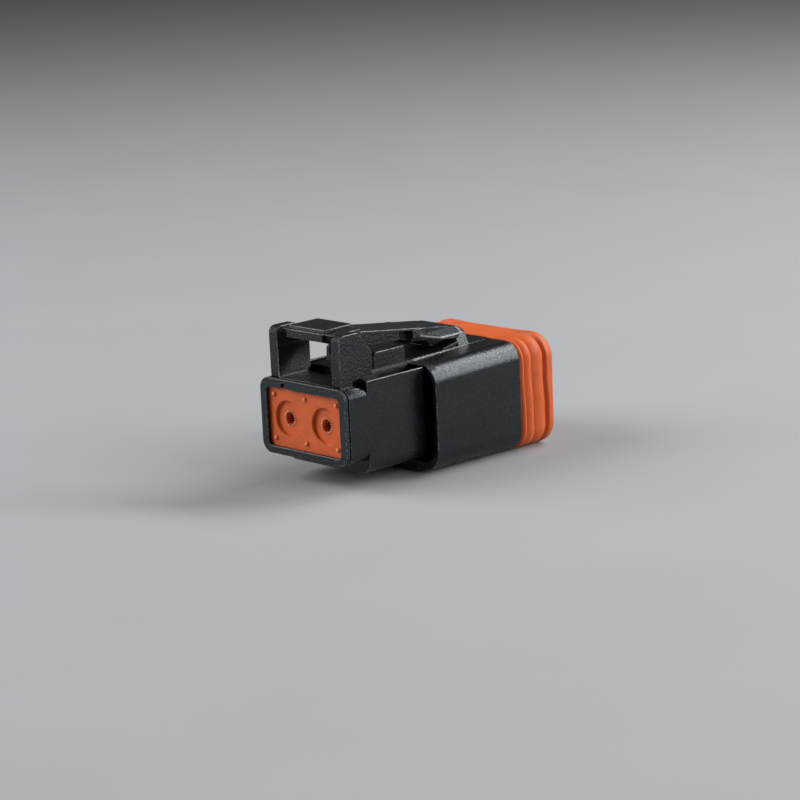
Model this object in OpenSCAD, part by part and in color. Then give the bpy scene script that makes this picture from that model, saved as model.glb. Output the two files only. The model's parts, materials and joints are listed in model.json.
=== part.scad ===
// Two-way sealed plug for a vehicle harness: moulded housing, top latch, wire grommet,
// ribbed interface seal, wedge lock and two socket contacts.
// +Y runs along the plug to its mating end, +Z is up, and the plug rests on its keel at Z = 0.
// Stations along Y are measured from the rear face, heights from the rear body's underside.

/* [Rear body] */
// Width of the rear body, of its waist and of the rear retainer
rear_w = 13.5; // [13.1:0.1:14.4]
// Height of the rear body
rear_h = 8.5; // [8.2:0.1:9.0]
// Corner radius of the rear body
rear_r = 1.35; // [0.8:0.05:1.5]
// Length of the rear body from the retainer to the step in its underside
shoulder_l = 2.9; // [2.3:0.1:3.6]
// Length of the waist from that step to the lip of the skirt
waist_l = 8.5; // [8:0.1:10]
// How far the underside of the waist drops below the rear body
waist_drop = 1.45; // [1.1:0.05:1.6]
// Corner radius of the waist's underside
waist_r = 1.5; // [0.8:0.1:1.7]
// Width of the seam behind the retainer
seam_w = 0.2; // [0.1:0.05:0.3]
// Depth of that seam
seam_d = 0.15; // [0.1:0.05:0.25]

/* [Deck] */
// Height of the deck above the rear body's top, at the seal
deck_rise = 1.1; // [0.9:0.05:1.3]
// How far the deck falls from the seal to the guard posts
deck_fall = 0.35; // [0.2:0.05:0.5]
// Half-width of the raised deck
deck_half = 4.4; // [4.2:0.1:4.6]
// Radius along the edges of the deck
deck_r = 0.5; // [0.3:0.1:0.7]
// Thickness of the fin along each side of the waist
fin_t = 0.45; // [0.35:0.05:0.6]
// Height of the fins above the rear body's top
fin_rise = 0.45; // [0.3:0.05:0.6]
// Depth of the groove floor below the rear body's top
groove_d = 0.3; // [0.2:0.05:0.5]
// Height of the bridge over each groove's rear end, above the fin
bridge_rise = 0.25; // [0.2:0.05:0.35]
// Diameter of the hole under that bridge
groove_hole_d = 0.9; // [0.7:0.05:0.95]

/* [Skirt] */
// Width of the skirt at its lip
lip_w = 17.2; // [16.9:0.1:17.5]
// Length of the skirt from its lip to the seal
skirt_l = 13.1; // [12.1:0.1:14.1]
// Corner radius of the skirt
skirt_r = 2.2; // [1.8:0.1:2.6]
// Wall of the skirt at its sides and top
skirt_wall = 0.6; // [0.5:0.05:0.8]
// Wall of the skirt at its underside
skirt_floor = 1.0; // [0.8:0.05:1.2]
// Gap between that wall and the waist
waist_gap = 0.25; // [0.15:0.05:0.4]
// Thickness of the wall that closes the skirt at the seal
skirt_end_t = 3.0; // [2:0.1:4]
// How far each side of the skirt spreads from its lip to the seal
side_draft = 0.25; // [0.1:0.05:0.35]
// How far its top rises on the same way
top_draft = 0.45; // [0.3:0.05:0.5]
// How far its underside drops
low_draft = 0.15; // [0.1:0.05:0.3]
// Half-width of the keel under the skirt
keel_half = 5.2; // [4.6:0.1:5.8]
// Height of the keel below the lip of the skirt
keel_h = 0.25; // [0.2:0.05:0.4]

/* [Latch guards] */
// Height of the guard posts above the rear body's top
guard_h = 5.6; // [5.2:0.1:6.0]
// Thickness of a guard post
guard_t = 1.3; // [1.1:0.1:1.5]
// Length of a guard post along the plug
guard_l = 4.7; // [4.3:0.1:5]
// Clear width between the guard posts
guard_gap = 8.6; // [8.4:0.1:9.0]
// Radius of the post's upper rear corner
guard_r = 0.8; // [0.5:0.1:1.1]
// Length of the sloping cut at the post's upper front corner
guard_cut_l = 1.9; // [1.5:0.1:2.2]
// Depth of that cut
guard_cut_d = 2.3; // [1.8:0.1:2.8]
// Step that thickens the lower part of a post on its inner side
guard_step = 0.1; // [0.05:0.05:0.2]
// Height of that step above the rear body's top
guard_step_h = 3.5; // [3:0.1:4]

/* [Latch rails] */
// Distance from the rear face to the latch rails
rail_y = 7.4; // [7:0.1:8.4]
// Length of a latch rail
rail_l = 4.6; // [3.6:0.1:5.2]
// Height of a latch rail above the deck
rail_h = 1.75; // [1.4:0.05:2]
// Thickness of a latch rail
rail_t = 0.55; // [0.4:0.05:0.7]
// Radius of a rail's upper rear corner
rail_r = 0.5; // [0.3:0.05:0.7]
// Clear width between the latch rails
rail_gap = 6.6; // [6.4:0.1:6.8]

/* [Latch] */
// Half-width of the latch arm along its top
arm_half = 2.7; // [2.5:0.05:2.8]
// Slope of the arm, falling towards the mating end
arm_slope = 7.3; // [6.8:0.1:7.8]
// How far each flank spreads from the arm's top to the deck, at the hood
flare = 1.5; // [1.2:0.05:1.6]
// Distance of the arm's root from the seal face
root_back = 4.8; // [4.4:0.1:5.2]
// Height of the root's axis above the deck at the seal
root_rise = 1.4; // [1.35:0.05:1.6]
// Radius of the root
root_r = 0.6; // [0.5:0.05:0.7]
// Clearance round the root
root_clear = 0.04; // [0.02:0.01:0.08]
// Length of the thumb tab
tab_l = 4.6; // [4:0.1:5]
// Depth of the thumb tab
tab_h = 1.3; // [1.2:0.05:1.5]
// Height of the thumb tab's top above the arm
tab_step = 0.33; // [0.25:0.02:0.45]
// How far the tab's front bar stands out to the rear
bar_out = 0.4; // [0.3:0.05:0.5]
// Depth of the ledge above that bar
bar_ledge = 0.35; // [0.25:0.05:0.45]
// Gap between the thumb tab and each guard post
tab_clear = 0.4; // [0.3:0.05:0.6]
// Length of the arm's side cheeks
cheek_l = 6.4; // [5.6:0.1:6.8]
// Depth of a cheek at its rear end
cheek_h = 1.9; // [1.6:0.1:2]
// Depth of a cheek at its front end
cheek_end_h = 1.25; // [1.1:0.05:1.4]
// Thickness of a cheek, which is also the depth of the notch in front of it
cheek_t = 0.8; // [0.6:0.05:0.9]
// Length of the notch between a cheek and its ear
notch_l = 1.9; // [1.6:0.1:2.2]
// Thickness of the arm's top over that notch
top_t = 0.3; // [0.2:0.05:0.4]
// Length of an ear
ear_l = 2.2; // [1.9:0.1:2.4]
// Height of an ear
ear_h = 0.95; // [0.8:0.05:1.1]
// How far an ear stands out of the arm's side
ear_out = 0.25; // [0.15:0.05:0.35]
// Depth of the arm at the ears
beam_h = 1.5; // [1.3:0.05:1.7]
// Length of the hood in front of the root
hood_l = 1.6; // [1.4:0.1:2]
// Half-width of the tunnel through the hood
tunnel_half = 1.9; // [1.5:0.1:2.1]
// Height of that tunnel
tunnel_h = 0.6; // [0.5:0.05:0.7]
// Length of the ramp on the deck behind the hood
ramp_l = 2.2; // [1.8:0.1:2.6]
// Rise of that ramp at the hood
ramp_h = 0.4; // [0.3:0.05:0.5]

/* [Rear retainer and grommet] */
// Thickness of the rear retainer
retainer_t = 0.5; // [0.4:0.05:0.8]
// Width of the retainer's band round its opening
band_w = 0.95; // [0.85:0.05:1.1]
// Corner radius of that opening
window_r = 0.5; // [0.3:0.1:0.8]
// Width of the keyway in the retainer's upper band
keyway_w = 0.65; // [0.5:0.05:0.9]
// Height of that keyway above the opening
keyway_h = 0.6; // [0.4:0.05:0.7]
// Distance of the keyway from the middle of the plug
keyway_x = 3.05; // [2.6:0.05:3.6]
// How far the grommet reaches under the band
grommet_lap = 0.25; // [0.15:0.05:0.35]
// Corner radius of the grommet
grommet_r = 0.8; // [0.5:0.1:1.1]
// Length of the grommet behind the retainer
grommet_l = 6.0; // [5:0.1:6.4]
// Diameter of the round recess at each wire entry
recess_d = 4.0; // [3.6:0.1:4.4]
// Depth of that recess
recess_in = 0.4; // [0.3:0.05:0.6]
// Diameter of the wire entry
entry_d = 1.5; // [1.2:0.05:1.8]
// Diameter of the relief behind each sealing web
relief_d = 2.5; // [2.2:0.1:2.8]
// Length of a sealing web
web_l = 0.9; // [0.7:0.05:1.0]
// Radius of the nubs on the grommet's face
nub_r = 0.28; // [0.2:0.02:0.34]
// Distance of the nubs from the edge of the opening
nub_in = 0.85; // [0.7:0.05:1]

/* [Contacts] */
// Distance between the two contacts
pitch = 5.85; // [5.5:0.05:6.1]
// How far the contacts lie below the middle of the rear body
contact_drop = 0.2; // [0.1:0.05:0.3]
// Length of a contact
contact_l = 20.8; // [19.8:0.1:21.6]
// Gap between a contact's mouth and the wedge lock
mouth_gap = 0.3; // [0.2:0.05:0.5]
// Diameter of a contact's socket
socket_d = 2.2; // [2.1:0.02:2.3]
// Diameter of the mating pin's bore
pin_bore_d = 1.6; // [1.5:0.02:1.7]
// Depth of that bore
pin_bore_l = 6.6; // [5.6:0.1:7.6]
// Width of the slots in the socket
slot_w = 0.25; // [0.15:0.05:0.35]
// Length of the slots
slot_l = 2.8; // [2:0.1:3]
// Diameter of the contact's collar
collar_d = 2.9; // [2.84:0.02:3]
// Length of that collar
collar_l = 0.8; // [0.6:0.1:1]
// Distance from the floor of the wedge lock's pocket to the collar
collar_in = 1.5; // [1.2:0.1:1.8]
// Length of the crimp barrel
crimp_l = 6; // [5:0.1:6.6]
// Diameter of the crimp barrel
crimp_d = 2.4; // [2.3:0.05:2.6]
// Diameter of the wire well in the crimp barrel
well_d = 1.7; // [1.5:0.05:1.9]
// Depth of the wire well
well_l = 5.4; // [4:0.1:5.6]
// Wall of the sleeve round the socket
sleeve_t = 0.15; // [0.12:0.01:0.18]
// Gap between the sleeve and the socket
sleeve_gap = 0.02; // [0.01:0.01:0.04]
// Gap between a contact and its cavity
cavity_gap = 0.05; // [0.03:0.01:0.06]
// Width of the slots that free a locking finger
finger_slot = 0.24; // [0.18:0.02:0.3]
// Distance of those slots from the contact's axis
finger_half = 0.9; // [0.8:0.05:1]

/* [Mating end] */
// Length of the first seal rib along the plug
rib_l = 0.7; // [0.6:0.05:0.8]
// How much longer each next rib is
rib_grow = 0.6; // [0.4:0.05:0.65]
// Number of seal ribs
rib_count = 3; // [2:1:3]
// Radial thickness of the seal at its ribs
seal_t = 1.6; // [1.5:0.05:1.7]
// How far the ribs stand out of the skirt
seal_proud = 0.1; // [0.05:0.05:0.2]
// Depth of the valleys between the ribs
valley_d = 0.4; // [0.3:0.05:0.5]
// Width of the seal's front flange
flange_w = 1.5; // [1.3:0.05:1.6]
// Radius of the flange's edges
flange_r = 0.4; // [0.3:0.05:0.5]
// How far the nose stands out of the seal
nose_proud = 0.3; // [0.1:0.05:0.6]
// Wall of the nose round the wedge lock
nose_wall = 0.9; // [0.8:0.05:1]
// Wall of the contact towers inside the nose
tower_wall = 0.5; // [0.4:0.05:0.55]
// Depth of the wedge lock's pocket
pocket_l = 7.2; // [6.8:0.1:8]
// Thickness of the wedge lock's face plate
plate_t = 1.4; // [1.2:0.1:1.6]
// Clearance round the wedge lock
wedge_clear = 0.1; // [0.06:0.01:0.14]
// Thickness of the wedge lock's blade
blade_t = 1.3; // [1:0.1:1.5]
// Length of that blade behind the face plate
blade_l = 5.2; // [4:0.1:5.4]
// Height of that blade
blade_h = 4.6; // [4:0.1:5]
// Length of the tapered tip of that blade
tip_l = 1.1; // [0.8:0.1:1.4]
// Thickness of the wedge lock's side skids
skid_t = 0.6; // [0.4:0.05:0.7]
// How much shorter the skids are than the face plate, at each end
skid_in = 1.2; // [0.9:0.1:1.5]
// Length of the side skids behind the face plate
skid_l = 3.6; // [3:0.1:4.4]
// Diameter of the wedge lock's pin entries
pin_entry_d = 2.0; // [1.8:0.05:2.2]
// Width of the chamfer round each pin entry
entry_lead = 0.3; // [0.2:0.05:0.4]
// Width, height and depth of the puller's slot in the face plate
puller = [1.1, 2.6, 0.8]; // [0.6:0.1:3]

/* [Hidden] */
$fn = 48;

BLACK = [0.05, 0.05, 0.055];
ORANGE = [0.83, 0.25, 0.10];
BRASS = [0.72, 0.60, 0.33];
STEEL = [0.72, 0.72, 0.74];

BITE = 0.5; // how far a piece reaches into the one that carries it
OVER = 1; // how far a cut runs on past the surface that it leaves

// Stations along the plug
body_y = retainer_t;
step_y = body_y + shoulder_l;
lip_y = step_y + waist_l;
seal_y = lip_y + skirt_l;
ribs_l = rib_count * rib_l + rib_grow * rib_count * (rib_count - 1) / 2;
flange_y = seal_y + ribs_l;
seal_end = flange_y + flange_w;
nose_y = seal_end + nose_proud;
end_wall_y = seal_y - skirt_end_t;
guard_y = body_y + seam_w;
deck_y = guard_y + guard_l;
root_y = seal_y - root_back;
grommet_y = body_y + grommet_l;
plate_y = nose_y - plate_t;
pocket_y = nose_y - pocket_l;
collar_y = pocket_y + collar_in;
contact_y = collar_y + collar_l;
mouth_y = plate_y - mouth_gap;

// Heights above the rear body's underside
deck_z = rear_h + deck_rise;
fin_z = rear_h + fin_rise;
groove_z = rear_h - groove_d;
guard_z = rear_h + guard_h;
root_z = deck_z + root_rise;
contact_z = rear_h / 2 - contact_drop;
window_z = rear_h / 2 - contact_drop / 2;
deck_tilt = atan(deck_fall / (seal_y - deck_y));

// Opening of the retainer and the grommet behind it
window_w = rear_w - 2 * band_w;
window_h = rear_h - 2 * band_w;
grommet_w = window_w + 2 * grommet_lap;
grommet_h = window_h + 2 * grommet_lap;

// Outline of the skirt at its lip and at the seal, where it lies a little below the deck
end_step = 0.05;
lip_top = deck_z - end_step - top_draft;
lip_low = -waist_drop - waist_gap - skirt_floor;
end_w = lip_w + 2 * side_draft;
end_top = lip_top + top_draft;
end_low = lip_low - low_draft;

// Outline of the seal, of the nose that it grips and of the pocket in the nose
seal_w = end_w + 2 * seal_proud;
seal_h = end_top - end_low + 2 * seal_proud;
seal_mid = (end_top + end_low) / 2;
seal_r = skirt_r + seal_proud;
keel_z = min(lip_low - keel_h, seal_mid - seal_h / 2);
nose_w = seal_w - 2 * seal_t;
nose_h = seal_h - 2 * seal_t;
nose_r = skirt_r - 1.0;
pocket_w = nose_w - 2 * nose_wall;
pocket_h = nose_h - 2 * nose_wall;
pocket_r = 0.7;
sleeve_d = socket_d + 2 * (sleeve_gap + sleeve_t);
front_cavity_d = sleeve_d + 2 * cavity_gap;
rear_cavity_d = collar_d + 2 * cavity_gap;
tower_d = rear_cavity_d + 2 * tower_wall;

// ---------- helpers ----------

// Everything stands on the keel, centred on the plug's length
module placed() translate([0, -nose_y / 2, -keel_z]) children();

module rounded_rect(w, h, r) {
    square([w - 2 * r, h], center = true);
    square([w, h - 2 * r], center = true);
    for (x = [-1, 1], z = [-1, 1])
        translate([x * (w / 2 - r), z * (h / 2 - r)]) circle(r = r);
}

// Sweeps an outline drawn in X and Z along Y
module along_y(y0, y1)
    translate([0, y1, 0]) rotate([90, 0, 0]) linear_extrude(height = y1 - y0) children();

// Sweeps a side profile drawn in Y and Z across X
module across_x(x0, x1)
    rotate([90, 0, 90]) translate([0, 0, x0]) linear_extrude(height = x1 - x0) children();

module block_y(w, z0, z1, r, y0, y1)
    along_y(y0, y1) translate([0, (z0 + z1) / 2]) rounded_rect(w, z1 - z0, r);

module box(x0, x1, y0, y1, z0, z1)
    translate([x0, y0, z0]) cube([x1 - x0, y1 - y0, z1 - z0]);

module rod_y(x, z, d, y0, y1)
    translate([x, y1, z]) rotate([90, 0, 0]) cylinder(d = d, h = y1 - y0);

// Round bead of radius r run round a rounded rectangle whose outer size is w by h
module bead_ring(w, h, corner, r, y, z) {
    px = w / 2 - corner;
    pz = h / 2 - corner;
    path_r = corner - r;
    translate([0, y, z]) rotate([90, 0, 0]) {
        for (s = [-1, 1]) {
            translate([-px, s * (h / 2 - r), 0]) rotate([0, 90, 0]) cylinder(r = r, h = 2 * px);
            translate([s * (w / 2 - r), pz, 0]) rotate([90, 0, 0]) cylinder(r = r, h = 2 * pz);
        }
        for (q = [[px, pz, 0], [-px, pz, 90], [-px, -pz, 180], [px, -pz, 270]])
            translate([q[0], q[1], 0]) rotate([0, 0, q[2]])
                rotate_extrude(angle = 90) translate([path_r, 0]) circle(r = r);
    }
}

// Both sides of the plug
module mirrored_x() {
    children();
    mirror([1, 0, 0]) children();
}

// ---------- housing ----------

module rear_body() {
    block_y(rear_w - 2 * seam_d, seam_d, rear_h - seam_d, rear_r - seam_d / 2,
            body_y, step_y);
    block_y(rear_w, 0, rear_h, rear_r, body_y + seam_w, step_y + BITE);
}

// Waist: square above, rounded below, with a fin that stands up along each side
module waist() {
    low_h = groove_z + waist_drop - waist_r;
    along_y(step_y, seal_y) {
        translate([0, low_h / 2 - waist_drop]) rounded_rect(rear_w, low_h, waist_r);
        translate([-rear_w / 2, waist_r]) square([rear_w, groove_z - waist_r]);
        for (side = [-1, 1])
            translate([side * (rear_w - fin_t) / 2 - fin_t / 2, waist_r])
                square([fin_t, fin_z - waist_r]);
    }
    // Floor between the guard posts, and the bridge beside each of them
    box(-deck_half, deck_half, step_y, deck_y, waist_r, rear_h);
    mirrored_x() along_y(step_y, deck_y)
        polygon([[deck_half, waist_r], [deck_half, fin_z + bridge_rise],
                 [deck_half + guard_t, fin_z + bridge_rise], [rear_w / 2 - fin_t / 2, fin_z],
                 [rear_w / 2 - fin_t / 2, waist_r]]);
}

// Deck with rounded edges, falling to the rear
module deck() {
    depth = deck_rise + groove_d;
    translate([0, seal_y, deck_z]) rotate([deck_tilt, 0, 0])
        along_y(deck_y - seal_y, -depth * tan(deck_tilt)) {
            translate([-deck_half, -depth]) square([2 * deck_half, depth - deck_r]);
            translate([-deck_half + deck_r, -deck_rise])
                square([2 * (deck_half - deck_r), deck_rise]);
            for (side = [-1, 1])
                translate([side * (deck_half - deck_r), -deck_r]) circle(r = deck_r);
        }
}

// Skirt that widens to the seal, open to the rear round the waist
module skirt() {
    // The height at which its top and underside would meet the same vanishing line
    level = (low_draft * lip_top + top_draft * lip_low) / (low_draft + top_draft);
    grow = [end_w / lip_w, 1 + top_draft / (lip_top - level)];
    difference() {
        translate([0, lip_y, level]) mirror([0, 1, 0]) rotate([90, 0, 0])
            linear_extrude(height = skirt_l, scale = grow, slices = 1)
                translate([0, (lip_top + lip_low) / 2 - level])
                    rounded_rect(lip_w, lip_top - lip_low, skirt_r);
        block_y(lip_w - 2 * skirt_wall, lip_low + skirt_floor, lip_top - skirt_wall,
                skirt_r - skirt_wall, lip_y - OVER, end_wall_y);
    }
    box(-keel_half, keel_half, lip_y, seal_y - BITE, keel_z, lip_low + skirt_floor / 2);
}

// Guard post with a rounded rear corner, a sloping front one and a stepped inner side
module guard_post() {
    inner = guard_gap / 2;
    module outline(top) {
        translate([guard_y, groove_z]) square([guard_l, top - guard_r - groove_z]);
        translate([guard_y + guard_r, groove_z]) square([guard_l - guard_r, top - groove_z]);
        translate([guard_y + guard_r, top - guard_r]) circle(r = guard_r);
    }
    difference() {
        union() {
            across_x(inner, inner + guard_t) outline(guard_z);
            box(inner - guard_step, inner + BITE, guard_y, deck_y, groove_z, rear_h + guard_step_h);
        }
        across_x(inner - OVER, inner + guard_t + OVER)
            polygon([[deck_y - guard_cut_l, guard_z], [deck_y - guard_cut_l, guard_z + OVER],
                     [deck_y + OVER, guard_z + OVER], [deck_y + OVER, guard_z - guard_cut_d],
                     [deck_y, guard_z - guard_cut_d]]);
    }
}

// Low wall that keeps the pressed arm in line
module rail()
    across_x(rail_gap / 2, rail_gap / 2 + rail_t) {
        translate([rail_y, deck_z - BITE - deck_fall]) square([rail_l, rail_h - rail_r + BITE]);
        translate([rail_y + rail_r, deck_z - deck_fall]) square([rail_l - rail_r, rail_h]);
        translate([rail_y + rail_r, deck_z - deck_fall + rail_h - rail_r]) circle(r = rail_r);
    }

// Height of the arm's top surface at a station, from the slope through the root
function arm_top(y) = root_z + root_r / cos(arm_slope) + (root_y - y) * tan(arm_slope);

// Cross-section shared by the arm's flanks and the hood: flat top, flanks that spread downwards
module flared_section(top, low, spread) {
    shoulder = (top - low) * 0.35;
    polygon([[arm_half - 0.2, top], [arm_half + spread * 0.08, top - 0.15],
             [arm_half + spread * 0.6, top - shoulder], [arm_half + spread, low],
             [-arm_half - spread, low], [-arm_half - spread * 0.6, top - shoulder],
             [-arm_half - spread * 0.08, top - 0.15], [-arm_half + 0.2, top]]);
}

// Hood that carries the root of the latch, with a tunnel for the mating lug
module hood() {
    hood_end = root_y + hood_l;
    width = 2 * (arm_half + flare);
    difference() {
        intersection() {
            along_y(root_y, hood_end) flared_section(arm_top(root_y), deck_z - deck_fall, flare);
            across_x(-width, width)
                polygon([[root_y - OVER, deck_z - OVER], [hood_end, deck_z - OVER],
                         [hood_end, arm_top(hood_end) - 0.3], [hood_end - 0.3, arm_top(hood_end)],
                         [root_y - OVER, arm_top(root_y - OVER)]]);
        }
        translate([-width / 2, root_y, root_z]) rotate([0, 90, 0])
            cylinder(r = root_r + root_clear, h = width);
    }
    // Ramp that rises to the hood on both sides of the tunnel
    across_x(-arm_half - flare * 0.8, arm_half + flare * 0.8)
        polygon([[root_y - ramp_l, deck_z - BITE], [root_y + BITE, deck_z - BITE],
                 [root_y + BITE, deck_z + ramp_h], [root_y, deck_z + ramp_h],
                 [root_y - ramp_l, deck_z]]);
}

module nose()
    block_y(nose_w, seal_mid - nose_h / 2, seal_mid + nose_h / 2, nose_r, seal_y - OVER, nose_y);

// Pocket in the mating face that takes the wedge lock
module wedge_pocket()
    block_y(pocket_w, seal_mid - pocket_h / 2, seal_mid + pocket_h / 2, pocket_r,
            pocket_y, nose_y + OVER);

// Tubes that stand in that pocket round the contacts
module towers()
    for (side = [-1, 1])
        rod_y(side * pitch / 2, contact_z, tower_d, pocket_y - BITE, plate_y - BITE);

// Cavity of one contact, with the slots that free its locking finger
module contact_cavity(side) {
    x = side * pitch / 2;
    finger_x = side * pitch / 4;
    rod_y(x, contact_z, rear_cavity_d, grommet_y - BITE, contact_y);
    rod_y(x, contact_z, front_cavity_d, contact_y - BITE, nose_y);
    for (edge = [-1, 1])
        box(finger_x - OVER, finger_x + OVER, collar_y - BITE, plate_y,
            contact_z + edge * finger_half - finger_slot / 2,
            contact_z + edge * finger_half + finger_slot / 2);
}

module housing() color(BLACK) placed() difference() {
    union() {
        difference() {
            union() {
                rear_body();
                waist();
                deck();
                skirt();
                nose();
            }
            wedge_pocket();
        }
        towers();
        hood();
        mirrored_x() {
            guard_post();
            rail();
        }
    }
    // Tunnel under the hood
    box(-tunnel_half, tunnel_half, root_y - ramp_l - OVER, root_y + hood_l + OVER,
        deck_z, deck_z + tunnel_h);
    // Round holes under the bridges, in which the grooves end
    mirrored_x()
        rod_y(deck_half + guard_t, fin_z - groove_hole_d / 2, groove_hole_d, step_y - OVER, deck_y + OVER);
    block_y(grommet_w, window_z - grommet_h / 2, window_z + grommet_h / 2, grommet_r,
            body_y - OVER, grommet_y);
    for (side = [-1, 1]) contact_cavity(side);
}

// ---------- latch ----------

// Stations of the latch, from its thumb tab to its root
tab_y = guard_y + 0.1;
plate_back = tab_y + bar_out;
tab_end = plate_back + tab_l;
cheek_y = tab_end + 0.2;
notch_y = cheek_y + cheek_l;
ear_y = notch_y + notch_l;
ear_end = ear_y + ear_l;

// Spine from the tab to the root, as wide as the gap between the notches, under a full-width top
module arm_spine() {
    half = arm_half - cheek_t;
    across_x(-half, half)
        polygon([[root_y, arm_top(root_y)], [tab_end - BITE, arm_top(tab_end - BITE)],
                 [cheek_y, arm_top(cheek_y) - cheek_h / 2], [notch_y, arm_top(notch_y) - cheek_end_h],
                 [ear_y, arm_top(ear_y) - beam_h], [root_y, root_z - root_r]]);
    across_x(-arm_half, arm_half)
        polygon([[ear_y + BITE, arm_top(ear_y + BITE)], [tab_end - BITE, arm_top(tab_end - BITE)],
                 [tab_end - BITE, arm_top(tab_end - BITE) - top_t],
                 [ear_y + BITE, arm_top(ear_y + BITE) - top_t]]);
}

// Front stretch of the arm: its flanks come out of the vertical sides and meet the hood's
module arm_flanks() {
    width = arm_half + flare;
    intersection() {
        union() {
            along_y(ear_y, root_y) flared_section(arm_top(root_y), deck_z - deck_fall, flare);
            across_x(-arm_half, arm_half)
                polygon([[ear_y, root_z], [ear_y, arm_top(ear_y)], [root_y, arm_top(root_y)],
                         [root_y, root_z]]);
        }
        across_x(-width, width)
            polygon([[ear_y, arm_top(ear_y)], [ear_y, arm_top(ear_y) - beam_h],
                     [root_y, root_z - root_r], [root_y, arm_top(root_y)]]);
        linear_extrude(height = guard_z)
            polygon([[-arm_half, ear_y], [arm_half, ear_y], [width, root_y], [-width, root_y]]);
    }
}

// Side cheek, and the round-nosed ear in front of the notch
module cheek_and_ear() {
    across_x(arm_half - cheek_t - 0.1, arm_half)
        polygon([[tab_end - BITE, arm_top(tab_end - BITE)], [notch_y, arm_top(notch_y)],
                 [notch_y, arm_top(notch_y) - cheek_end_h], [cheek_y, arm_top(cheek_y) - cheek_h],
                 [tab_end - BITE, arm_top(tab_end) - cheek_h * 0.8]]);
    ear_mid = arm_top(ear_y) - 0.2 - ear_h / 2;
    across_x(arm_half - BITE, arm_half + ear_out) {
        translate([ear_y, ear_mid - ear_h / 2]) square([ear_l - ear_h / 2, ear_h]);
        translate([ear_end - ear_h / 2, ear_mid]) circle(d = ear_h);
    }
}

// Thumb tab: a raised plate between two lower wings, with a bar along its rear edge
module thumb_tab() {
    tab_z = arm_top(tab_y) + tab_step;
    wing_half = guard_gap / 2 - tab_clear;
    across_x(-arm_half - 0.1, arm_half + 0.1) {
        polygon([[plate_back, tab_z], [tab_end - 0.3, tab_z], [tab_end, tab_z - tab_h / 2],
                 [tab_end, tab_z - tab_h], [plate_back, tab_z - tab_h]]);
        translate([tab_y, tab_z - tab_h]) square([2 * bar_out, tab_h - bar_ledge]);
    }
    mirrored_x() across_x(arm_half - BITE, wing_half)
        polygon([[plate_back, tab_z - 1.3 * bar_ledge], [tab_end - 0.2, tab_z - 1.3 * bar_ledge],
                 [tab_end - 0.2, tab_z - tab_h], [plate_back + bar_out, tab_z - tab_h]]);
}

// Catch that drops behind the lug of the mating shell
module catch()
    across_x(-tunnel_half + 0.1, tunnel_half - 0.1)
        polygon([[ear_y, root_z], [ear_y, root_z - root_r], [ear_y + BITE, root_z - root_r],
                 [ear_end, root_z]]);

// Round root, trimmed to the hood's cross-section
module root() {
    width = arm_half + flare;
    intersection() {
        translate([-width, root_y, root_z]) rotate([0, 90, 0]) cylinder(r = root_r, h = 2 * width);
        along_y(root_y - OVER, root_y + OVER)
            flared_section(arm_top(root_y), deck_z - deck_fall, flare);
    }
}

module latch_lever() color(BLACK) placed() {
    root();
    arm_spine();
    arm_flanks();
    mirrored_x() cheek_and_ear();
    thumb_tab();
    catch();
}

// ---------- rear retainer and grommet ----------

module rear_retainer() color(BLACK) placed() difference() {
    block_y(rear_w, 0, rear_h, rear_r, 0, body_y);
    block_y(window_w, window_z - window_h / 2, window_z + window_h / 2, window_r, -OVER, body_y + OVER);
    box(-keyway_x - keyway_w / 2, -keyway_x + keyway_w / 2, -OVER, body_y + OVER,
        window_z, window_z + window_h / 2 + keyway_h);
}

module wire_grommet() color(ORANGE) placed() {
    web_pitch = (grommet_y - body_y - recess_in - web_l) / 2;
    difference() {
        union() {
            block_y(grommet_w, window_z - grommet_h / 2, window_z + grommet_h / 2, grommet_r,
                    body_y, grommet_y);
            for (x = [-1, 0, 1], s = [-1, 1])
                translate([x * (window_w / 2 - nub_in), body_y, window_z + s * (window_h / 2 - nub_in)])
                    sphere(r = nub_r);
        }
        for (s = [-1, 1]) {
            x = s * pitch / 2;
            rod_y(x, contact_z, recess_d, body_y - OVER, body_y + recess_in);
            rod_y(x, contact_z, entry_d, body_y, grommet_y + OVER);
            for (i = [0, 1])
                rod_y(x, contact_z, relief_d, body_y + recess_in + web_l + i * web_pitch,
                      body_y + recess_in + (i + 1) * web_pitch);
        }
    }
}

// ---------- interface seal ----------

module front_seal() color(ORANGE) placed() {
    valley_w = seal_w - 2 * valley_d;
    valley_h = seal_h - 2 * valley_d;
    low = seal_mid - seal_h / 2;
    top = seal_mid + seal_h / 2;
    difference() {
        union() {
            block_y(valley_w, low + valley_d, top - valley_d, seal_r - valley_d,
                    seal_y, flange_y + flange_w / 2);
            // Ribs, each longer than the one before it
            for (i = [0:rib_count - 1]) {
                length = rib_l + i * rib_grow;
                start = seal_y + i * rib_l + rib_grow * i * (i - 1) / 2;
                bead_ring(seal_w, seal_h, seal_r, length / 2, start + length / 2, seal_mid);
            }
            // Land along the top, in which the ribs end
            box(seal_r - seal_w / 2, seal_w / 2 - seal_r, seal_y + rib_l / 2, flange_y + flange_w / 2,
                top - seal_t, top);
            // Flange with rounded edges
            for (y = [flange_y + flange_r, seal_end - flange_r])
                bead_ring(seal_w, seal_h, seal_r, flange_r, y, seal_mid);
            block_y(seal_w, low, top, seal_r, flange_y + flange_r, seal_end - flange_r);
            block_y(seal_w - 2 * flange_r, low + flange_r, top - flange_r, seal_r - flange_r,
                    flange_y, seal_end);
        }
        block_y(nose_w, seal_mid - nose_h / 2, seal_mid + nose_h / 2, nose_r,
                seal_y - OVER, seal_end + OVER);
    }
}

// ---------- wedge lock ----------

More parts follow.
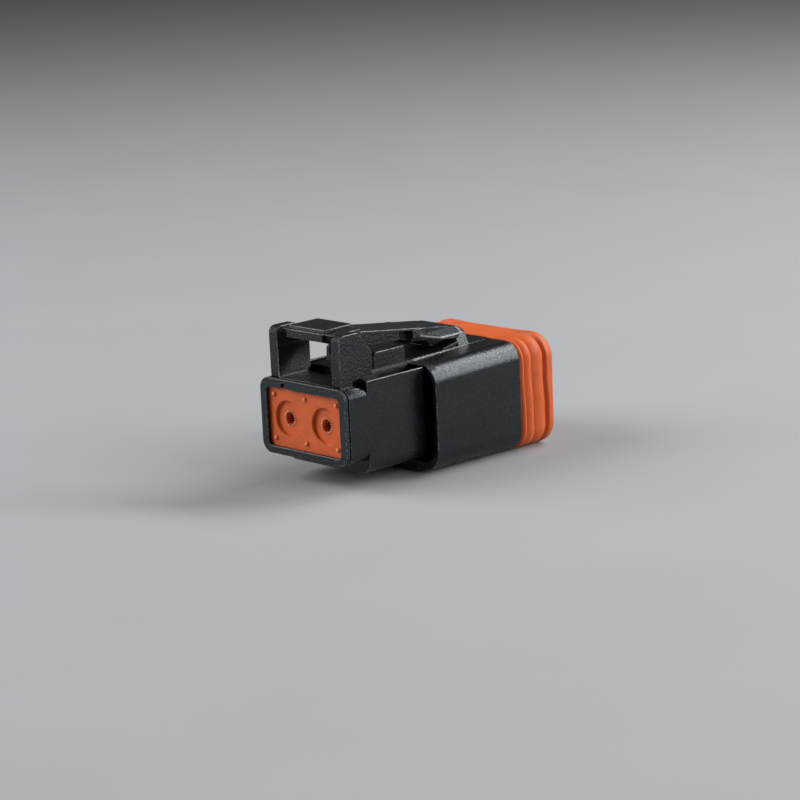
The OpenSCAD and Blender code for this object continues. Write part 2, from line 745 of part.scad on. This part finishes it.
module wedge_lock() color(ORANGE) placed() {
    w = pocket_w - 2 * wedge_clear;
    h = pocket_h - 2 * wedge_clear;
    tip_y = plate_y - blade_l;
    difference() {
        union() {
            block_y(w, seal_mid - h / 2, seal_mid + h / 2, pocket_r - wedge_clear / 2, plate_y, nose_y);
            // Blade with a tapered tip between the two locking fingers
            translate([0, 0, contact_z - blade_h / 2]) linear_extrude(height = blade_h)
                polygon([[-blade_t / 2, plate_y + BITE], [blade_t / 2, plate_y + BITE],
                         [blade_t / 2, tip_y + tip_l], [blade_t / 4, tip_y], [-blade_t / 4, tip_y],
                         [-blade_t / 2, tip_y + tip_l]]);
            mirrored_x()
                box(w / 2 - skid_t, w / 2, plate_y - skid_l, plate_y + BITE,
                    seal_mid - h / 2 + skid_in, seal_mid + h / 2 - skid_in);
        }
        for (side = [-1, 1]) {
            rod_y(side * pitch / 2, contact_z, pin_entry_d, plate_y - OVER, nose_y + OVER);
            translate([side * pitch / 2, nose_y, contact_z]) rotate([90, 0, 0])
                cylinder(d1 = pin_entry_d + 2 * entry_lead, d2 = pin_entry_d, h = entry_lead);
        }
        box(-puller[0] / 2, puller[0] / 2, nose_y - puller[2], nose_y + OVER,
            contact_z - puller[1] / 2, contact_z + puller[1] / 2);
    }
}

// ---------- contacts ----------

// Turned socket contact, drawn along +Y from its crimp end
module socket_contact(side) placed() translate([side * pitch / 2, 0, contact_z]) {
    tail_y = mouth_y - contact_l;
    difference() {
        union() {
            rod_y(0, 0, crimp_d, tail_y, tail_y + crimp_l);
            rod_y(0, 0, socket_d, tail_y + crimp_l - BITE, mouth_y);
            rod_y(0, 0, collar_d, collar_y, contact_y);
        }
        rod_y(0, 0, well_d, tail_y - OVER, tail_y + well_l);
        rod_y(0, 0, pin_bore_d, mouth_y - pin_bore_l, mouth_y + OVER);
        box(-socket_d, socket_d, mouth_y - slot_l, mouth_y + OVER, -slot_w / 2, slot_w / 2);
        box(-slot_w / 2, slot_w / 2, mouth_y - slot_l, mouth_y + OVER, -socket_d, socket_d);
    }
}

// Thin sleeve that guards the slotted end of the socket
module socket_sleeve(side) placed() translate([side * pitch / 2, 0, contact_z]) difference() {
    rod_y(0, 0, sleeve_d, contact_y, mouth_y + mouth_gap / 2);
    rod_y(0, 0, socket_d + 2 * sleeve_gap, contact_y - OVER, mouth_y + OVER);
}

module contact_left() color(BRASS) socket_contact(-1);
module contact_right() color(BRASS) socket_contact(1);
module sleeve_left() color(STEEL) socket_sleeve(-1);
module sleeve_right() color(STEEL) socket_sleeve(1);

housing();
latch_lever();
rear_retainer();
wire_grommet();
front_seal();
wedge_lock();
contact_left();
contact_right();
sleeve_left();
sleeve_right();
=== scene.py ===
"""Looks of the sealed two-way plug: softened mouldings, ribbed seal, lipped wire entries, studio.

The plug lies along Y, from the wire entries at the rear to the mating end in front, with the
latch on top. Lengths are in metres, save where a name or comment says mm.
"""

import json
import math

import bmesh
import bpy
from mathutils import Matrix, Vector


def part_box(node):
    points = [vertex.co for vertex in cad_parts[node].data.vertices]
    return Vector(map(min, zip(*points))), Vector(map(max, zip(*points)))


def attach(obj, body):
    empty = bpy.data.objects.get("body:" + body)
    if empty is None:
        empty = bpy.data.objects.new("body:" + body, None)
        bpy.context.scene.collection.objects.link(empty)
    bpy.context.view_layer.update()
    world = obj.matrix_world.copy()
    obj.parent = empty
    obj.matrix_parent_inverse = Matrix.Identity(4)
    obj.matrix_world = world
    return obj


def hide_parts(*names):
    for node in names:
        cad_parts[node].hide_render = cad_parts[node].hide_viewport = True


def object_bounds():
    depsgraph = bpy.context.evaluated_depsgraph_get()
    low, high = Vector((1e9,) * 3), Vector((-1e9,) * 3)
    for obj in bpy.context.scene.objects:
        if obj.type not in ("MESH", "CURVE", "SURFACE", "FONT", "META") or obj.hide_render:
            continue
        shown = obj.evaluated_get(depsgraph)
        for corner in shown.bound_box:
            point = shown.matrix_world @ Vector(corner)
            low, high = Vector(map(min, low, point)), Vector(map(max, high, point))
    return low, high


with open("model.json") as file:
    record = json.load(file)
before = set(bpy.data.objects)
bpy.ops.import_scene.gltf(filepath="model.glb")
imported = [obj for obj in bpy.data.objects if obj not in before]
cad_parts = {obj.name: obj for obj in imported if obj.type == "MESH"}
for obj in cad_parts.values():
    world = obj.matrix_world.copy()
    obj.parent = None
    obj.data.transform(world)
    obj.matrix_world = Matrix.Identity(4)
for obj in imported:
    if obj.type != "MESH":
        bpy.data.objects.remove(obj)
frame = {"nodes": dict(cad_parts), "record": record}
cad_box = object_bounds()

MM = 0.001
SCENE = bpy.context.scene

# ---------------------------------------------------------------- camera

AZIMUTH = math.radians(46.15)  # from straight behind the plug towards its right
ELEVATION = math.radians(13.09)
ROLL = math.radians(-2.6)
DISTANCE = 289.6 * MM
FIELD = 2 * math.atan(400 / 2600)  # half the picture's width over the focal length
AIM = Vector((0, 13.44, 6.79)) * MM  # from the middle of the rear end's lowest line
AIM_RIGHT, AIM_UP = 0.89 * MM, 0.16 * MM
SENSOR = 36  # mm, the width that the lens is measured against


def make_camera():
    """Camera at the right of the wire-entry end, a little above the plug."""
    back = Vector((math.sin(AZIMUTH) * math.cos(ELEVATION),
                   -math.cos(AZIMUTH) * math.cos(ELEVATION), math.sin(ELEVATION)))
    right = Vector((math.cos(AZIMUTH), math.sin(AZIMUTH), 0))
    up = back.cross(right)
    rear = Vector((0, cad_box[0].y, cad_box[0].z))
    aim = rear + AIM + right * AIM_RIGHT + up * AIM_UP
    rolled_right = right * math.cos(ROLL) + up * math.sin(ROLL)
    rolled_up = up * math.cos(ROLL) - right * math.sin(ROLL)
    data = bpy.data.cameras.new("camera")
    data.sensor_width = SENSOR
    data.lens = SENSOR / 2 / math.tan(FIELD / 2)
    data.clip_start, data.clip_end = 0.01, 10
    camera = bpy.data.objects.new("camera", data)
    axes = Matrix((rolled_right, rolled_up, back)).transposed().to_4x4()
    camera.matrix_world = Matrix.Translation(aim + back * DISTANCE) @ axes
    SCENE.collection.objects.link(camera)
    SCENE.camera = camera


# ---------------------------------------------------------------- materials

GRAIN = 0.24 * MM  # pitch of the spark-eroded grain on the black mouldings


def scaled(colour, factor):
    return tuple(c * factor for c in colour)


class Shader:
    """Node tree of one material, built up call by call."""

    def __init__(self, name):
        self.material = bpy.data.materials.new(name)
        self.material.use_nodes = True
        self.tree = self.material.node_tree
        self.surface = self.tree.nodes["Principled BSDF"]
        self.place = self.node("ShaderNodeTexCoord").outputs["Object"]

    def node(self, kind, **values):
        made = self.tree.nodes.new(kind)
        for key, value in values.items():
            setattr(made, key, value)
        return made

    def link(self, source, target):
        self.tree.links.new(source, target)

    def feed(self, source, target):
        """Number or output into a socket."""
        if isinstance(source, (int, float)):
            target.default_value = source
        else:
            self.link(source, target)

    def drive(self, name, source):
        """Output into a named socket of the surface."""
        self.link(source, self.surface.inputs[name])

    def noise(self, size, detail=3.0, rough=0.5):
        """Noise whose grains are about size metres across."""
        made = self.node("ShaderNodeTexNoise")
        made.inputs["Scale"].default_value = 1 / size
        made.inputs["Detail"].default_value = detail
        made.inputs["Roughness"].default_value = rough
        self.link(self.place, made.inputs["Vector"])
        return made.outputs["Fac"]

    def along(self, axis):
        """Place along one axis of the plug, in metres."""
        split = self.node("ShaderNodeSeparateXYZ")
        self.link(self.place, split.inputs["Vector"])
        return split.outputs[axis]

    def remap(self, value, low, high, start=0.0, end=1.0):
        """Runs from low to high while the value runs from start to end, and is level beyond."""
        made = self.node("ShaderNodeMapRange")
        made.inputs["From Min"].default_value = start
        made.inputs["From Max"].default_value = end
        made.inputs["To Min"].default_value = low
        made.inputs["To Max"].default_value = high
        self.link(value, made.inputs["Value"])
        return made.outputs["Result"]

    def math(self, kind, first, second):
        made = self.node("ShaderNodeMath", operation=kind)
        self.feed(first, made.inputs[0])
        self.feed(second, made.inputs[1])
        return made.outputs["Value"]

    def mix(self, factor, first, second):
        """Blend of two colours, each a tuple or an output."""
        made = self.node("ShaderNodeMix", data_type="RGBA")
        self.link(factor, made.inputs[0])
        for source, target in ((first, made.inputs[6]), (second, made.inputs[7])):
            if isinstance(source, tuple):
                target.default_value = (*source, 1)
            else:
                self.link(source, target)
        return made.outputs[2]

    def bump(self, height, distance, strength=1.0, below=None):
        made = self.node("ShaderNodeBump")
        made.inputs["Distance"].default_value = distance
        self.feed(strength, made.inputs["Strength"])
        self.link(height, made.inputs["Height"])
        if below is not None:
            self.link(below, made.inputs["Normal"])
        return made.outputs["Normal"]

    def set(self, **values):
        """Constants straight on the surface's own sockets."""
        for key, value in values.items():
            self.surface.inputs[key.replace("_", " ")].default_value = value


def moulded_black(name, base, rough, coarse_from=None):
    """Black moulded nylon with spark-eroded grain and a faint cloudy sheen.

    The grain is coarse all over or, given a point of the plug, only above and behind it, with a
    fine satin elsewhere.
    """
    shader = Shader(name)
    cloud = shader.noise(2.2 * MM, 4)
    coarse = shader.noise(GRAIN, 2, 0.6)
    fine = shader.noise(GRAIN * 0.4, 2, 0.6)
    tone = shader.mix(shader.remap(cloud, 0, 1, 0.35, 0.7), base, scaled(base, 1.6))
    shader.drive("Base Color", tone)
    uneven = shader.remap(cloud, rough - 0.04, rough + 0.05)
    strength = 1.0
    if coarse_from is not None:
        fade = 0.2 * MM
        above = shader.remap(shader.along("Z"), 0, 1, coarse_from.z, coarse_from.z + fade)
        behind = shader.remap(shader.along("Y"), 1, 0, coarse_from.y, coarse_from.y + fade)
        mask = shader.math("MULTIPLY", above, behind)
        strength = shader.remap(mask, 0.05, 1.0)
        uneven = shader.math("ADD", uneven, shader.remap(mask, 0.0, 0.14))
    shader.drive("Roughness", shader.math("ADD", uneven, shader.remap(coarse, -0.05, 0.05)))
    normal = shader.bump(fine, 0.02 * MM, 0.7)
    shader.drive("Normal", shader.bump(coarse, 0.15 * MM, strength, normal))
    shader.set(IOR=1.53, Specular_IOR_Level=0.34, Specular_Tint=(0.82, 0.93, 1.0, 1))
    return shader.material


def polished_edge_painted_highlight(name, base, painted_highlight, rough):
    """Polished outer edge of a moulding, its colour mixed part way to a pale grey as a painted
    highlight, more on the grit's tips here and there.
    """
    shader = Shader(name)
    grit = shader.noise(0.30 * MM, 3, 0.7)
    # the pale colour mixed into the edge is a painted highlight, uneven with the grit
    shader.drive("Base Color", shader.mix(shader.remap(grit, 0, 1, 0.46, 0.60), base, painted_highlight))
    shader.drive("Roughness", shader.remap(grit, rough + 0.08, rough - 0.06))
    shader.drive("Normal", shader.bump(grit, 0.03 * MM, 0.6))
    shader.set(IOR=1.53)
    return shader.material


def silicone(name, base, rough, painted_highlight_behind=None):
    """Orange silicone: soft cloudy colour and a faint powdery surface.

    Behind a place along the plug, if one is given, its colour fades to a pale tip: a painted
    highlight.
    """
    shader = Shader(name)
    cloud = shader.noise(1.6 * MM, 5)
    powder = shader.noise(0.06 * MM, 3, 0.6)
    tone = shader.mix(shader.remap(cloud, 0, 1, 0.3, 0.7), scaled(base, 0.84), base)
    if painted_highlight_behind is not None:
        fade = 0.08 * MM
        # the pale tip colour is a painted highlight
        painted_tip = shader.remap(shader.along("Y"), 1, 0, painted_highlight_behind - fade, painted_highlight_behind)
        tone = shader.mix(painted_tip, tone, (0.95, 0.62, 0.42))
    shader.drive("Base Color", tone)
    shader.drive("Roughness", shader.remap(cloud, rough - 0.06, rough + 0.06))
    shader.drive("Normal", shader.bump(powder, 0.006 * MM, 0.6))
    shader.set(IOR=1.42, Subsurface_Weight=0.15, Subsurface_Scale=0.3 * MM)
    return shader.material


def turned_metal(name, base, rough):
    """Drawn or turned metal with fine rings across the plug's length."""
    shader = Shader(name)
    stretch = shader.node("ShaderNodeMapping")
    stretch.inputs["Scale"].default_value = (0.1, 1.0, 0.1)
    shader.link(shader.place, stretch.inputs["Vector"])
    shader.place = stretch.outputs["Vector"]
    rings = shader.noise(0.08 * MM, 4)
    shader.drive("Base Color", shader.mix(rings, scaled(base, 0.8), base))
    shader.drive("Roughness", shader.remap(rings, rough - 0.08, rough + 0.12))
    shader.drive("Normal", shader.bump(rings, 0.004 * MM, 0.5))
    shader.set(Metallic=1.0)
    return shader.material


GRAINY_LENGTH = 8 * MM  # of the housing under the latch's front end, measured from that end
WEB = 0.9 * MM  # length of the sealing web, whose rear face carries the entries' lips
HIGHLIGHT_START = 0.05 * MM  # how far behind the web's face a lip's painted highlight begins, paling towards the tip

latch_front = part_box("latch_lever")[1].y
body_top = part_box("rear_retainer")[1].z
nub_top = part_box("wire_grommet")[0].y
ENTRIES = {mount["name"]: Vector(mount["pos_m"]) for mount in frame["record"]["mounts"]
           if mount["name"].startswith("wire_entry")}
lip_rear = min(place.y for place in ENTRIES.values()) - WEB / 2

MATERIALS = {
    "housing_plastic": moulded_black("housing_plastic", (0.0040, 0.0052, 0.0062), 0.27,
                                     Vector((0, latch_front - GRAINY_LENGTH, body_top))),
    "retainer_plastic": moulded_black("retainer_plastic", (0.007, 0.0085, 0.010), 0.46),
    "orange_silicone": silicone("orange_silicone", (0.69, 0.125, 0.026), 0.5),
    "orange_plastic": silicone("orange_plastic", (0.68, 0.12, 0.035), 0.42),
    "contact_metal": turned_metal("contact_metal", (0.76, 0.63, 0.40), 0.32),
    "sleeve_steel": turned_metal("sleeve_steel", (0.62, 0.62, 0.64), 0.28),
}
# finishes and painted highlights that one piece, or a part of it, has in place of its slot's own
LATCH_PLASTIC = moulded_black("latch_plastic", (0.0055, 0.0068, 0.008), 0.42)
# lighter orange on the wire entries' lips, paling at their tips: a painted highlight
LIP_PAINTED_HIGHLIGHT = silicone("lip_painted_highlight", (0.72, 0.16, 0.045), 0.45, lip_rear - HIGHLIGHT_START)
# paler, brighter orange on the grommet's nubs: a painted highlight
NUB_PAINTED_HIGHLIGHT = silicone("nub_painted_highlight", (0.88, 0.27, 0.10), 0.42)
# pale grey on the black mouldings' rounded edges: a painted highlight; the lower roughness there
# is polish
POLISHED_EDGE_PAINTED_HIGHLIGHT = polished_edge_painted_highlight("polished_edge_painted_highlight", (0.008, 0.010, 0.012), (0.11, 0.125, 0.14), 0.30)

SLOT = {part["node"]: part["material_slot"] for part in frame["record"]["subparts"]}
BODY = {node: body for body, nodes in frame["record"]["behaviour"]["bodies"].items()
        for node in nodes}


def dress_nodes():
    """Gives every CAD node the material of its own slot."""
    for node, slot in SLOT.items():
        data = frame["nodes"][node].data
        data.materials.clear()
        data.materials.append(MATERIALS[slot])


def place_piece(name, data, body, slot, *replaced):
    """Object for a mesh, riding on a body, in the material of its slot unless it has its own."""
    piece = bpy.data.objects.new(name, data)
    SCENE.collection.objects.link(piece)
    if not data.materials:
        data.materials.append(MATERIALS[slot])
    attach(piece, body)
    if replaced:
        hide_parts(*replaced)
    return piece


def new_piece(name, mesh, body, slot, *replaced):
    """The same for a finished bmesh, with its normals turned outward."""
    bmesh.ops.recalc_face_normals(mesh, faces=mesh.faces)
    data = bpy.data.meshes.new(name)
    mesh.to_mesh(data)
    mesh.free()
    return place_piece(name, data, body, slot, *replaced)


def skin(mesh, rings):
    """Smooth faces between each ring of vertices and the next."""
    count = len(rings[0])
    for a, b in zip(rings, rings[1:]):
        for k in range(count):
            face = mesh.faces.new((a[k], a[(k + 1) % count], b[(k + 1) % count], b[k]))
            face.smooth = True


# ---------------------------------------------------------------- softened mouldings

HARD = math.radians(25)  # an edge that turns by more than this is rounded off
FLAT = math.radians(0.6)  # faces that turn by less than this become one
SHARE = 0.3  # share of the narrowest face beside an edge that its rounding may take
WELD = 0.5e-6  # vertices nearer than this are one
TOUCHING = 0.1e-6  # an edge nearer than this meets the one that is measured from


def room_beside(edge, loop):
    """Clear width of a face beside the middle of one of its edges."""
    face = loop.face
    along = (loop.link_loop_next.vert.co - loop.vert.co).normalized()
    inward = face.normal.cross(along)
    middle = (edge.verts[0].co + edge.verts[1].co) / 2
    best = 1.0
    for other in face.edges:
        if other == edge:
            continue
        a, b = (v.co - middle for v in other.verts)
        au, bu = a.dot(along), b.dot(along)
        if (au < 0) != (bu < 0):
            reach = a.dot(inward) + (b - a).dot(inward) * au / (au - bu)
            if reach > TOUCHING:
                best = min(best, reach)
    return best


def weigh_edges(mesh, width, crisp):
    """Sets how much each outer edge is rounded, and marks inner and crisp ones as sharp."""
    weight = mesh.edges.layers.float.new("bevel_weight_edge")
    for edge in mesh.edges:
        turn = edge.calc_face_angle_signed(0)
        if turn > HARD and not crisp((edge.verts[0].co + edge.verts[1].co) / 2):
            room = min(room_beside(edge, loop) for loop in edge.link_loops)
            edge[weight] = min(1.0, SHARE * room / width)
        elif abs(turn) > HARD:
            edge.smooth = False


def softened(node, width, finish, edge_material, crisp=lambda place: False):
    """Stands for a CAD node: its own form with the outer edges rounded off, save crisp ones."""
    mesh = bmesh.new()
    mesh.from_mesh(frame["nodes"][node].data)
    bmesh.ops.remove_doubles(mesh, verts=mesh.verts, dist=WELD)
    bmesh.ops.dissolve_limit(mesh, angle_limit=FLAT, verts=mesh.verts, edges=mesh.edges)
    weigh_edges(mesh, width, crisp)
    for face in mesh.faces:
        face.smooth = True
    data = bpy.data.meshes.new(node + "_plain")
    mesh.to_mesh(data)
    mesh.free()
    data.materials.append(finish)
    data.materials.append(edge_material)
    holder = bpy.data.objects.new(node + "_plain", data)
    SCENE.collection.objects.link(holder)
    bevel = holder.modifiers.new("round", "BEVEL")
    bevel.material = 1
    bevel.limit_method = "WEIGHT"
    bevel.width = width
    bevel.segments = 2
    bevel.use_clamp_overlap = False
    normals = holder.modifiers.new("normals", "WEIGHTED_NORMAL")
    normals.keep_sharp = True
    graph = bpy.context.evaluated_depsgraph_get()
    data = bpy.data.meshes.new_from_object(holder.evaluated_get(graph))
    bpy.data.objects.remove(holder)
    data.name = node + "_moulded"
    return place_piece(node + "_moulded", data, BODY[node], SLOT[node], node)


def soften_mouldings():
    """The five mouldings with outer edges that can be seen."""
    black, rubber = MATERIALS["housing_plastic"], MATERIALS["orange_silicone"]
    orange = MATERIALS["orange_plastic"]
    seal_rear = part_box("front_seal")[0].y

    def skirt_rim(place):
        """Top of the skirt's front rim: rounded beside the deck's low step, it shades dark."""
        return place.y > seal_rear - 0.1 * MM and place.z > body_top

    def pin_entry(place):
        """Rim of a pin hole, in line with a wire entry: rounded, its big face cracks."""
        return any(math.hypot(place.x - entry.x, place.z - entry.z) < 1.7 * MM
                   for entry in ENTRIES.values())

    # the black mouldings' rounded edges take the painted edge highlight
    softened("housing", 0.10 * MM, black, POLISHED_EDGE_PAINTED_HIGHLIGHT, skirt_rim)
    softened("latch_lever", 0.10 * MM, LATCH_PLASTIC, POLISHED_EDGE_PAINTED_HIGHLIGHT)
    softened("rear_retainer", 0.08 * MM, MATERIALS["retainer_plastic"], POLISHED_EDGE_PAINTED_HIGHLIGHT)
    softened("wedge_lock", 0.12 * MM, orange, orange, pin_entry)
    grommet = softened("wire_grommet", 0.10 * MM, rubber, NUB_PAINTED_HIGHLIGHT)
    nub_height = 0.12 * MM  # the faces this near the grommet's rearmost point are its nubs
    # the nub faces take the paler orange, a painted highlight
    for face in grommet.data.polygons:
        face.material_index = int(face.center.y < nub_top + nub_height)


# ---------------------------------------------------------------- ribbed seal

SEAL_R = 2.3 * MM  # corner radius of the seal at the skirt
FLANGE_R = 0.35 * MM  # what the front flange adds to that radius
RIBS = (0.7, 1.3, 1.9)  # lengths of the ribs along the plug, in mm
VALLEY = 0.38 * MM  # depth of the valleys between the ribs
RIB_FORM = 0.6  # power under one that makes the ribs full and the valleys narrow
CREST = 1.15  # power that moves a rib's crest a little past its middle
EDGE_R = 0.6  # rounding of the flange's front edge, in mm
LIFT = 0.12 * MM  # how far the flange stands out at the sides
CROWN = 0.08 * MM  # extra height on top, where the ribs have run out
LAG = 0.2  # how much further forward the ribs stand on the lower half, in mm
OPENING = 1.6 * MM  # width of the seal's front face, from its outline to the hole in it
OPENING_R = 1.2 * MM
SEAL_ROWS, EDGE_ROWS = 72, 8
CORNER_STEPS, FLAT_X_STEPS, FLAT_Z_STEPS = 16, 44, 30


def smooth(value):
    """Soft step from 0 to 1."""
    value = min(1.0, max(0.0, value))
    return value * value * (3 - 2 * value)


def outline(half_w, half_h, r):
    """Points round a rounded rectangle, each with its outward direction."""
    points = []
    for quarter in range(4):
        start = quarter * math.pi / 2
        sx, sz = ((1, 1), (-1, 1), (-1, -1), (1, -1))[quarter]
        core = Vector((sx * (half_w - r), 0, sz * (half_h - r)))
        for k in range(CORNER_STEPS + 1):
            angle = start + math.pi / 2 * k / CORNER_STEPS
            out = Vector((math.cos(angle), 0, math.sin(angle)))
            points.append((core + out * r, out))
        nx, nz = ((-1, 1), (-1, -1), (1, -1), (1, 1))[quarter]
        target = Vector((nx * (half_w - r), 0, nz * (half_h - r))) + out * r
        first = points[-1][0]
        flat = (FLAT_X_STEPS, FLAT_Z_STEPS)[quarter % 2]
        for k in range(1, flat):
            points.append((first.lerp(target, k / flat), out))
    return points


def rib_depth(point):
    """Share of the ribs' full depth: all at the bottom and sides, fading to none on top."""
    if point.z < 0:
        return 1.0
    outer = smooth((abs(point.x) / MM - 3.0) / 4.2)
    return max(outer, 1 - smooth(point.z / MM / 4.5))


def rib_offset(t, depth, lift):
    """Height of the seal's skin over its outline, t mm from the skirt."""
    t = max(t, 0.0)
    start = 0.0
    for length in RIBS:
        if t < start + length:
            arch = math.sin(math.pi * ((t - start) / length) ** CREST) ** RIB_FORM
            return -VALLEY * depth * (1 - arch)
        start += length
    rise = smooth((t - start + 0.05) / 0.35)
    return -VALLEY * depth * (1 - rise) + lift * rise


def skin_offset(point, t):
    """Height of the seal's skin over its outline at one point of it, t mm from the skirt."""
    depth = rib_depth(point)
    lag = LAG * smooth(0.5 - point.z / MM / 3)
    crown = (1 - depth) * CROWN * math.sin(math.pi * min(1, t / sum(RIBS)))
    return rib_offset(t - lag, depth, LIFT * depth) + crown


def make_seal():
    """Ribbed silicone seal, whose ribs run out into a smooth crowned band on top."""
    lo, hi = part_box("front_seal")
    middle = Vector((0, 0, (lo.z + hi.z) / 2))
    half_w, half_h = hi.x, (hi.z - lo.z) / 2
    total = (hi.y - lo.y) / MM
    mesh = bmesh.new()
    rows = []

    def add_row(y, width, height, r, offset):
        rows.append([mesh.verts.new(middle + point + out * offset(point) + Vector((0, y, 0)))
                     for point, out in outline(width, height, r)])

    for k in range(SEAL_ROWS + 1):
        t = (total - EDGE_R) * k / SEAL_ROWS
        r = SEAL_R + FLANGE_R * smooth((t - 3.4) / 1.0)
        add_row(lo.y + t * MM, half_w, half_h, r, lambda point: skin_offset(point, t))
    for k in range(1, EDGE_ROWS + 1):
        angle = math.pi / 2 * k / EDGE_ROWS
        t = total - EDGE_R + EDGE_R * math.sin(angle)
        inset = -EDGE_R * MM * (1 - math.cos(angle))
        add_row(lo.y + t * MM, half_w, half_h, SEAL_R + FLANGE_R,
                lambda point: inset + LIFT * rib_depth(point))
    # down the hole in the front face and back to the first row, behind the skirt's rim
    for y in (hi.y, lo.y + 0.01 * MM):
        add_row(y, half_w - OPENING, half_h - OPENING, OPENING_R, lambda point: 0.0)
    skin(mesh, rows + rows[:1])
    piece = new_piece("seal_ribbed", mesh, "plug", SLOT["front_seal"], "front_seal")
    piece.data.set_sharp_from_angle(angle=math.radians(50))


# ---------------------------------------------------------------- lips of the wire entries

TEETH = 19
STEPS_PER_TOOTH = 10
TOOTH_RISE, TOOTH_REACH = 0.20, 0.07  # how far a tooth stands up and inward, in mm
TOOTH_FORM = 0.7  # power under one that broadens the teeth
# section of the lip: radius and height over the web in mm, and the teeth's share at each place
LIP_SECTION = ((0.74, -0.30, 0), (0.75, -0.02, 0.3), (0.77, -0.01, 0.9), (0.83, 0.0, 1.0),
               (0.90, -0.01, 0.9), (0.95, -0.02, 0.4), (0.99, -0.03, 0))


def make_entry_lip(name, middle):
    """Raised serrated lip round one wire entry."""
    mesh = bmesh.new()
    around = TEETH * STEPS_PER_TOOTH
    rear = middle.y - WEB / 2
    rows = []
    for radius, height, tooth in LIP_SECTION:
        ring = []
        for k in range(around):
            angle = 2 * math.pi * k / around
            wave = tooth * max(0.0, math.cos(TEETH * angle)) ** TOOTH_FORM
            rise = (height + TOOTH_RISE * wave) * MM
            reach = (radius - TOOTH_REACH * wave) * MM
            ring.append(mesh.verts.new((middle.x + reach * math.cos(angle), rear - rise,
                                        middle.z + reach * math.sin(angle))))
        rows.append(ring)
    skin(mesh, rows)
    piece = new_piece(name, mesh, "plug", SLOT["wire_grommet"])
    piece.data.materials[0] = LIP_PAINTED_HIGHLIGHT


# ---------------------------------------------------------------- floor and light

FLOOR_SIZE = 6
LAMP_HEIGHT = 7 * MM  # what all lamps turn round: the height of the wire entries
LAMP_DISTANCE = 0.5
STRIP_TURNS = (6, 33, 60)  # degrees from the top towards the plug's right


def make_floor():
    """Plain pale floor, just under the lowest thing on it."""
    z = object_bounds()[0].z - 0.02 * MM
    bpy.ops.mesh.primitive_plane_add(size=FLOOR_SIZE, location=(0, 0, z))
    floor = bpy.context.object
    floor.name = "floor"
    shader = Shader("floor")
    tone = shader.mix(shader.noise(30 * MM, 2), (0.37, 0.38, 0.395), (0.40, 0.41, 0.425))
    shader.drive("Base Color", tone)
    shader.set(Roughness=0.7)
    floor.data.materials.append(shader.material)


def area_light(name, direction, width, height, radiance):
    """Soft box in a direction from the plug, facing it."""
    at = Vector(direction).normalized() * LAMP_DISTANCE
    data = bpy.data.lights.new(name, "AREA")
    data.shape = "RECTANGLE"
    data.size, data.size_y = width, height
    data.energy = radiance * math.pi * width * height
    lamp = bpy.data.objects.new(name, data)
    lamp.location = at + Vector((0, 0, LAMP_HEIGHT))
    lamp.rotation_euler = (-at).to_track_quat("-Z", "Y").to_euler()
    SCENE.collection.objects.link(lamp)
    return lamp


def make_lights():
    """Strips that draw the bright band on the skirt's corner, two fills and a faint sky."""
    for k, turn in enumerate(STRIP_TURNS):
        turn = math.radians(turn)
        ahead = Vector((0.73 * math.sin(turn), 0.68, 0.73 * math.cos(turn)))
        lamp = area_light(f"strip_{k}", ahead, 0.20, 0.09, 14.5)
        # each strip's long side follows the curve that the three stand on
        across = Vector((math.cos(turn), 0, -math.sin(turn)))
        facing = ahead.normalized()
        up = facing.cross(across)
        axes = Matrix((across, up, facing)).transposed().to_4x4()
        lamp.matrix_world = Matrix.Translation(lamp.location) @ axes
    area_light("side", (0.90, 0.20, 0.44), 0.26, 0.26, 4.4)
    area_light("front", (-0.60, -0.60, 0.54), 0.36, 0.36, 5.8)
    world = bpy.data.worlds.new("world")
    world.use_nodes = True
    background = world.node_tree.nodes["Background"]
    background.inputs["Color"].default_value = (0.88, 0.93, 1.0, 1)
    background.inputs["Strength"].default_value = 0.08
    SCENE.world = world


dress_nodes()
soften_mouldings()
make_seal()
for entry_name, entry_place in ENTRIES.items():
    make_entry_lip(entry_name + "_lip", entry_place)
make_floor()
make_lights()
make_camera()
SCENE.view_settings.view_transform = "Standard"
